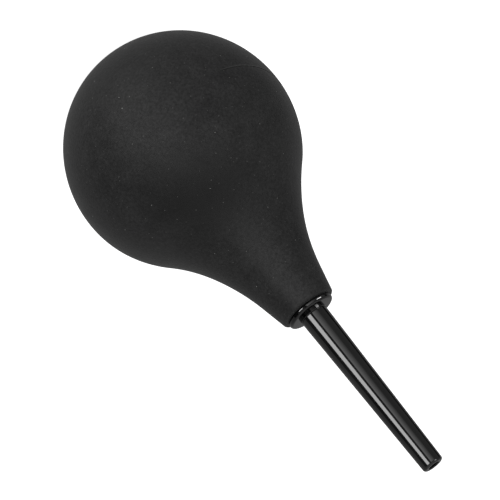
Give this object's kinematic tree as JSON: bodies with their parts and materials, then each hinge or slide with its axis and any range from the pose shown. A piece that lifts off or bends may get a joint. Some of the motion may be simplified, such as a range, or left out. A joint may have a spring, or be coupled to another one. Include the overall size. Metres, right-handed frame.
{
  "type": "dust blower bulb",
  "caption": "Pear-shaped rubber squeeze bulb with a barbed neck collar, a screw-in tapered nozzle and one-way valves, for blowing dust off small work.",
  "frame": {"origin": "on the axis, in the plane of the inlet foot's flat face that the blower stands on", "axes": "+Z along the axis from the foot to the nozzle's tip; +X and +Y are any two radii at right angles, +X through one of the inlet cap's outer holes"},
  "size_m": [0.078, 0.078, 0.1728],
  "materials": {
    "bulb_rubber": "matte moulded synthetic rubber with a faint grain",
    "gloss_black_plastic": "polished injection-moulded plastic",
    "inner_plastic": "plain moulded plastic",
    "valve_silicone": "soft silicone sheet",
    "seal_rubber": "smooth nitrile rubber",
    "gauze": "fine woven nylon gauze"
  },
  "bodies": {
    "bulb": {"bulb_shell": "bulb_rubber", "neck_collar": "gloss_black_plastic", "outlet_valve_seat": "inner_plastic"},
    "inlet": {"inlet_housing": "gloss_black_plastic", "inlet_cap": "gloss_black_plastic", "inlet_screen": "gauze", "inlet_retainer": "inner_plastic"},
    "inlet_disc": {"inlet_valve_disc": "valve_silicone"},
    "outlet_disc": {"outlet_valve_disc": "valve_silicone"},
    "seal": {"nozzle_o_ring": "seal_rubber"},
    "nozzle": {"nozzle_tube": "gloss_black_plastic"}
  },
  "joints": [
    {"name": "bulb_squeeze", "type": "slide", "parent": "bulb", "child": "inlet", "axis": [0, 0, 1], "range_m": [0, 0.025], "stiffness_N_per_m": 800, "deforming": ["bulb_shell"]},
    {"name": "inlet_valve_lift", "type": "slide", "parent": "inlet", "child": "inlet_disc", "axis": [0, 0, 1], "range_m": [0, 0.00098]},
    {"name": "outlet_valve_lift", "type": "slide", "parent": "bulb", "child": "outlet_disc", "axis": [0, 0, 1], "range_m": [0, 0.00118]},
    {"name": "nozzle_lift", "type": "slide", "parent": "bulb", "child": "seal", "axis": [0, 0, 1], "range_m": [0, 0.00469]},
    {"name": "nozzle_unscrew", "type": "hinge", "parent": "seal", "child": "nozzle", "pos_m": [0, 0, 0.1], "axis": [0, 0, 1], "range_deg": [0, 1350]}
  ],
  "couplings": [
    {"joint": "nozzle_unscrew", "follows": "nozzle_lift", "rad_per_m": 5026.5}
  ]
}
